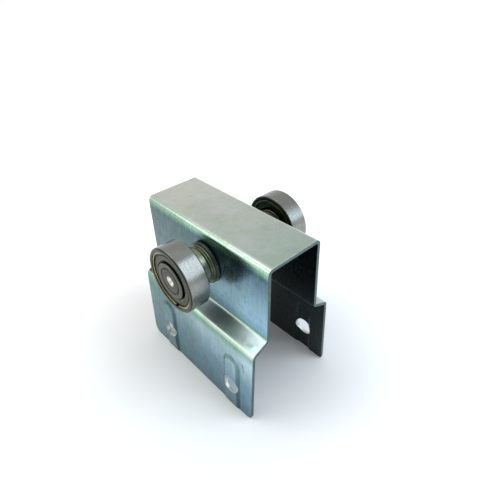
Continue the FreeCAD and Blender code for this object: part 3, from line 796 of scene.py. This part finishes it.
tube_low, tube_high = box_mm("inner_tube")
tube_radius = (tube_high[2] - tube_low[2]) / 2
sleeve_bore = 4.1
tube_end = tube_high[1]
tube = revolve("inner_tube_sleeve", rounded([
    (sleeve_bore, -tube_end, 0.15), (tube_radius, -tube_end, 0.2),
    (tube_radius, tube_end, 0.2), (sleeve_bore, tube_end, 0.15)]),
    "carrier", "inner_tube")
tube.data.materials.append(turned_steel(
    "tube_plate", (0.28, 0.29, 0.23), 0.0002, 0.3, 0.45, (0.8, 0.78, 0.6)))

# ==============================
# Washers and spacers
# On each side a flat washer seats on the channel wall, and a turned, plated sleeve with a collar,
# a neck and a reduced nose carries the bearing clear of it.
# ==============================

sides = {"near": -1, "far": 1}
sleeve_plate = turned_steel("sleeve_plate", (0.27, 0.30, 0.23), 0.00022, 0.26, 0.42, (0.78, 0.75, 0.55))
washer_plate = turned_steel("washer_plate", (0.12, 0.145, 0.125), 0.0002, 0.26, 0.42, (0.75, 0.75, 0.6))
spacer_radius, spacer_neck_radius, spacer_nose_radius = 6.6, 5.8, 5.7
collar_length = neck_length = nose_length = 0.6
spacer_ease = 0.7           # how far in and along each end of the body starts to round off
for side, facing in sides.items():
    low, high = box_mm(side + "_washer")
    washer_in, washer_out = sorted((abs(low[1]), abs(high[1])))
    washer_radius = (high[2] - low[2]) / 2
    washer = revolve(side + "_washer_ring", rounded([
        (sleeve_bore, facing * washer_in, 0.08), (washer_radius, facing * washer_in, 0.16),
        (washer_radius, facing * washer_out, 0.16), (sleeve_bore, facing * washer_out, 0.08)]),
        "carrier", side + "_washer")
    washer.data.materials.append(washer_plate)

    low, high = box_mm(side + "_spacer")
    spacer_in, spacer_out = sorted((abs(low[1]), abs(high[1])))
    collar_end = spacer_in + collar_length
    body_start, body_end = collar_end + neck_length, spacer_out - nose_length
    rows = [(sleeve_bore, spacer_in, 0.1), (spacer_radius, spacer_in, 0.12),
            (spacer_radius, collar_end, 0.12), (spacer_neck_radius, collar_end, 0.12),
            (spacer_neck_radius, body_start, 0.12), (spacer_radius - spacer_ease, body_start, 0.05),
            (spacer_radius, body_start + spacer_ease, 0.5),
            (spacer_radius, body_end - spacer_ease, 0.5), (spacer_radius - spacer_ease, body_end, 0.1),
            (spacer_nose_radius, body_end, 0.05), (spacer_nose_radius, spacer_out, 0.12),
            (sleeve_bore, spacer_out, 0.1)]
    spacer = revolve(side + "_spacer_sleeve", rounded(moved(rows, 0, facing)), "carrier",
                     side + "_spacer")
    spacer.data.materials.append(sleeve_plate)

# ==============================
# Ball bearings, near and far
# Hardened, ground rings whose outer one is the tread, seven balls in a pressed ribbon cage, and on
# each face a pressed shield held in its groove by a split ring of spring wire.
# ==============================

bearing_half = 3.5


def ring_steel():
    """Ground bearing steel: a bright tread, dark side faces, a dark bore edge and a film of oil.

    The tint changes with the distance from the axle's line: the side faces' and the bore edge's near-black
    tints are painted shade, and a band runs lighter towards the inner ring's outer edge; turning marks, a
    fine speckle and patches of oil multiply it.
    """
    material, tree, shader = new_material("bearing_steel")
    marks = use_group(tree, turning_marks, {"Line Width": 0.00012})
    place = add_node(tree, "TexCoord").outputs["Object"]
    tread = remap(tree, marks["Radius"], 0.01085, 0.01097, 0, 1)
    inner = remap(tree, marks["Radius"], 0.00705, 0.00715, 1, 0)
    # the near-black face and inner_face tints are painted shade
    face, inner_face, bright = (0.034, 0.040, 0.028), (0.060, 0.070, 0.052), (0.275, 0.295, 0.29)
    tinted = mixed(tree, tread, mixed(tree, inner, face, inner_face), bright)
    # the bore edge's near-black band is painted shade in the gap round the staked axle
    bore_gap_shade = remap(tree, marks["Radius"], 0.0046, 0.0048, 1, 0)
    tinted = mixed(tree, bore_gap_shade, tinted, (0.015, 0.016, 0.012))
    # lighter towards the inner ring's outer edge
    lighter_edge = maths(tree, "MULTIPLY", remap(tree, marks["Radius"], 0.0055, 0.0058, 0, 0.8), inner)
    tinted = mixed(tree, lighter_edge, tinted, (0.12, 0.13, 0.10))
    speckle = add_node(tree, "TexNoise", {"Vector": place, "Scale": 1900.0, "Detail": 3.0}).outputs["Fac"]
    tinted = mixed(tree, remap(tree, speckle, 0.35, 0.65, 0.4, 0), tinted, (0.72, 0.74, 0.76), "MULTIPLY")
    tinted = mixed(tree, remap(tree, marks["Marks"], 0, 1, 0.4, 0), tinted, (0.6, 0.6, 0.6), "MULTIPLY")
    film = patches(tree, place, 0.006, 0.4, 0.16)
    tinted = mixed(tree, remap(tree, film, 0, 1, 0, 0.7), tinted, (0.95, 0.76, 0.62), "MULTIPLY")
    worn = maths(tree, "ADD", remap(tree, marks["Marks"], 0, 1, 0.30, 0.22),
                 remap(tree, speckle, 0.35, 0.65, 0.05, 0))
    height = maths(tree, "ADD", marks["Marks"], speckle)
    dress_metal(tree, shader, tinted, 1.0, worn, height, 0.25, 0.00001)
    return material


bearing_steel = ring_steel()
# the shield's dark tint is painted shade on its face; the near-black bands at 6.0 to 6.75 mm, over the
# rolled-in edge and its gap to the inner ring, and at 8.25 to 8.5 mm, at the step, are painted shade; a
# lighter band lies at 6.85 to 7.15 mm, on the rolled edge's crest
shield_steel = turned_steel("shield_steel", (0.050, 0.056, 0.034), 0.00025, 0.24, 0.38, (0.9, 0.8, 0.55),
                            bands=[(6.0, 6.75, (0.006, 0.006, 0.005), 0.95),
                                   (6.85, 7.15, (0.085, 0.088, 0.062), 0.7),
                                   (8.25, 8.5, (0.02, 0.02, 0.015), 0.7)])
snap_steel = turned_steel("snap_ring_steel", (0.52, 0.49, 0.29), 0.0001, 0.24, 0.40, (0.9, 0.72, 0.45))
cage_steel = turned_steel("cage_steel", (0.45, 0.43, 0.36), 0.00025, 0.28, 0.45, (0.8, 0.7, 0.5))
ball_steel = turned_steel("ball_steel", (0.62, 0.62, 0.6), 0.0006, 0.06, 0.12, (0.9, 0.8, 0.65), depth=0.15)

race_radius = 2.0595
inner_race_middle, outer_race_middle = 7.525, 7.475
inner_land, outer_land = 6.0505, 8.9495
angle_to_land = math.acos((inner_race_middle - inner_land) / race_radius)
sweep = np.linspace(-angle_to_land, angle_to_land, 17)
inner_race = np.stack([inner_race_middle - race_radius * np.cos(sweep), race_radius * np.sin(sweep)], -1)
outer_race = np.stack([outer_race_middle + race_radius * np.cos(sweep), -race_radius * np.sin(sweep)], -1)
race_edge = race_radius * math.sin(angle_to_land)
bore_radius = 4.0
bore_chamfer, rim_chamfer, land_chamfer = 0.6, 0.4, 0.2
outer_radius = 11.0
seat_radius, groove_radius, lip_radius = 9.5495, 9.9495, 9.5995
seat_at, groove_at, lip_at = 2.40, 2.70, 3.24       # out from the bearing's middle plane
shield_rim, shield_flange, shield_step, shield_bore = 9.5195, 8.5995, 8.3995, 6.3505
split_bore, split_rim = 9.1495, 9.8995
split_in, split_out = 2.72, 3.22
split_turns = {"near_outer": -98, "near_inner": 25, "far_outer": 140, "far_inner": -60}
split_gap = math.radians(9)


def with_race(corners, race):
    """A ring's rounded corners, with the race's arc put in after the corner that it starts from."""
    profile = rounded(corners)
    start = int(np.argmin(np.abs(profile - race[0]).sum(1))) + 1
    return np.concatenate([profile[:start], race[1:-1], profile[start:]])


for side, facing in sides.items():
    low, high = box_mm(side + "_outer_ring")
    middle = (low[1] + high[1]) / 2

    half_ring = [(inner_land, race_edge, 0), (inner_land, bearing_half - land_chamfer, 0.06),
                 (inner_land - land_chamfer, bearing_half, 0.06),
                 (bore_radius + bore_chamfer, bearing_half, 0.08),
                 (bore_radius, bearing_half - bore_chamfer, 0.08)]
    inner_rows = with_race(moved(half_ring[::-1], 0, -1) + half_ring, inner_race)
    inner_ring = revolve(side + "_inner_race_ring", inner_rows + (0, middle), "carrier",
                         side + "_inner_ring")
    inner_ring.data.materials.append(bearing_steel)

    half_bore = [(lip_radius, bearing_half, 0.06), (lip_radius, lip_at, 0.03),
                 (groove_radius, lip_at, 0.03), (groove_radius, groove_at, 0.03),
                 (seat_radius, groove_at, 0.03), (seat_radius, seat_at, 0.03), (outer_land, seat_at, 0.05)]
    half_rim = [(outer_radius, bearing_half - rim_chamfer, 0.15),
                (outer_radius - rim_chamfer, bearing_half, 0.15)]
    race_edges = [(outer_land, race_edge, 0), (outer_land, -race_edge, 0)]
    outer_rows = with_race(moved(half_rim[::-1], 0, -1) + half_rim + half_bore + race_edges
                           + moved(half_bore[::-1], 0, -1), outer_race)
    outer_ring = revolve(side + "_tread_ring", outer_rows + (0, middle), side + "_roller",
                         side + "_outer_ring", steps=192)
    outer_ring.data.materials.append(bearing_steel)

    for where in ("outer", "inner"):
        outward = facing if where == "outer" else -facing
        # flange in its seat, slope, dished middle, rolled-in edge, and back along the hidden side
        rows = [(shield_rim, seat_at, 0.06), (shield_rim, groove_at, 0.06),
                (shield_flange, groove_at, 0.10), (shield_step, 2.95, 0.15), (6.95, 2.95, 0.3),
                (shield_bore, 2.58, 0.08), (shield_bore, 2.30, 0.08),
                (6.85, 2.62, 0.3), (8.2, 2.65, 0.2), (8.4, seat_at, 0.10)]
        shield = revolve(side + "_" + where + "_shield_disc", rounded(moved(rows, middle, outward)),
                         side + "_roller", side + "_shield_" + where)
        shield.data.materials.append(shield_steel)

        rows = [(split_bore, split_in, 0.12), (split_rim, split_in, 0.12),
                (split_rim, split_out, 0.12), (split_bore, split_out, 0.12)]
        gap_at = math.pi - math.radians(split_turns[side + "_" + where])
        split = revolve(side + "_" + where + "_split_ring", rounded(moved(rows, middle, outward)),
                        side + "_roller", side + "_snap_ring_" + where, steps=140,
                        start=gap_at + split_gap / 2, turn=2 * math.pi - split_gap)
        split.data.materials.append(snap_steel)

    for name, finish in [("cage_outer_half", cage_steel), ("cage_inner_half", cage_steel)] + [
            ("ball_%d" % number, ball_steel) for number in range(1, 8)]:
        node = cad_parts[side + "_" + name]
        for material_slot in node.material_slots:
            material_slot.material = finish

# ==============================
# Studio
# A wide pale floor under the object, three soft boxes and a pale surround.
# ==============================

floor_reach = 12.0
floor_mesh = bpy.data.meshes.new("floor")
floor_mesh.from_pydata([(-floor_reach, -floor_reach, 0), (floor_reach, -floor_reach, 0),
                        (floor_reach, floor_reach, 0), (-floor_reach, floor_reach, 0)], [], [(0, 1, 2, 3)])
floor = bpy.data.objects.new("floor", floor_mesh)
bpy.context.scene.collection.objects.link(floor)


def looked_at(tree):
    """1 where the camera looks straight at a surface or sees it in metal or through glass, else 0."""
    rays = add_node(tree, "LightPath").outputs
    seen = maths(tree, "ADD", rays["Is Camera Ray"], rays["Is Glossy Ray"])
    return maths(tree, "ADD", seen, rays["Is Transmission Ray"])


def floor_paint():
    """Matt white board, slightly mottled, that looks whiter than it lights, away from the object."""
    material, tree, shader = new_material("floor_board")
    place = add_node(tree, "TexCoord").outputs["Object"]
    cloud = add_node(tree, "TexNoise", {"Vector": place, "Scale": 9.0, "Detail": 3.0}).outputs["Fac"]
    tree.links.new(mixed(tree, cloud, (0.88, 0.88, 0.88), (0.90, 0.90, 0.90)), shader.inputs["Base Color"])
    shader.inputs["Roughness"].default_value = 0.9
    shader.inputs["Specular IOR Level"].default_value = 0.0
    seen = looked_at(tree)
    shader.inputs["Emission Color"].default_value = (1, 1, 1, 1)
    apart = add_node(tree, "VectorMath", {0: place}, operation="LENGTH").outputs["Value"]
    lift = remap(tree, apart, 0.02, 0.12, 0.0, 0.4)
    tree.links.new(maths(tree, "MULTIPLY", seen, lift), shader.inputs["Emission Strength"])
    return material


floor_mesh.materials.append(floor_paint())


def soft_box(name, direction, distance, width, height, watts, colour):
    """A rectangular studio lamp at a distance in a direction from the axle, facing it."""
    target = Vector((axle_x / 1000, 0, axle_z / 1000))
    away = Vector(direction).normalized()
    light = bpy.data.lights.new(name, "AREA")
    light.shape = "RECTANGLE"
    light.size = width
    light.size_y = height
    light.energy = watts
    light.color = colour
    lamp = bpy.data.objects.new(name, light)
    lamp.location = target + away * distance
    lamp.rotation_euler = away.to_track_quat("Z", "Y").to_euler()
    bpy.context.scene.collection.objects.link(lamp)


soft_box("left_box", (-0.36, -0.31, 0.88), 0.7, 0.36, 0.30, 0.8, (1.0, 1.0, 0.97))
soft_box("front_box", (-0.60, -0.68, 0.42), 0.7, 0.34, 0.34, 0.5, (1.0, 1.0, 0.95))
soft_box("right_box", (0.62, 0.42, 0.665), 0.7, 0.38, 0.72, 2.9, (0.72, 0.86, 1.0))


def surround():
    """The room's light: a pale ceiling, brightest overhead and on one side, over a white backdrop."""
    world = bpy.data.worlds.new("surround")
    world.use_nodes = True
    tree = world.node_tree
    tree.nodes.clear()
    direction = add_node(tree, "TexCoord").outputs["Generated"]
    apart = add_node(tree, "SeparateXYZ", {0: direction}).outputs
    height = apart["Z"]
    low = remap(tree, height, 0.0, 0.6, 0.45, 0.64)
    level = maths(tree, "ADD", low, remap(tree, height, 0.6, 1.0, 0, 0.36))
    side = remap(tree, apart["X"], -0.6, 0.5, 1.22, 0.66)
    level = maths(tree, "MULTIPLY", level, side)
    backdrop = maths(tree, "MULTIPLY", looked_at(tree), remap(tree, height, 0.1, 0.6, 1, 0))
    short_of_white = maths(tree, "SUBTRACT", 1.0, level)
    level = maths(tree, "MULTIPLY_ADD", backdrop, short_of_white, level)
    background = add_node(tree, "Background", {"Color": (0.98, 1.0, 1.0, 1), "Strength": level})
    add_node(tree, "OutputWorld", {"Surface": background.outputs[0]})
    return world


bpy.context.scene.world = surround()
bpy.context.scene.view_settings.view_transform = "Standard"

camera_data = bpy.data.cameras.new("camera")
camera_data.lens = 29.88
camera_data.sensor_width = 36.0
camera_data.shift_x = -0.025
camera_data.shift_y = 0.0458
camera_data.clip_start = 0.01
camera = bpy.data.objects.new("camera", camera_data)
bpy.context.scene.collection.objects.link(camera)
bpy.context.scene.camera = camera
camera_yaw, camera_pitch, camera_roll = 0.8346488, 0.6622944, -0.0339931
backwards = Vector((math.sin(camera_yaw) * math.cos(camera_pitch),
                    -math.cos(camera_yaw) * math.cos(camera_pitch), math.sin(camera_pitch)))
level_right = Vector((0, 0, 1)).cross(backwards).normalized()
level_up = backwards.cross(level_right)
right = math.cos(camera_roll) * level_right + math.sin(camera_roll) * level_up
upright = math.cos(camera_roll) * level_up - math.sin(camera_roll) * level_right
looks_at = Vector((0.01127, 0, 0.048057))
stands_off = 0.128159
camera.matrix_world = (Matrix.Translation(looks_at + stands_off * backwards)
                       @ Matrix((right, upright, backwards)).transposed().to_4x4())
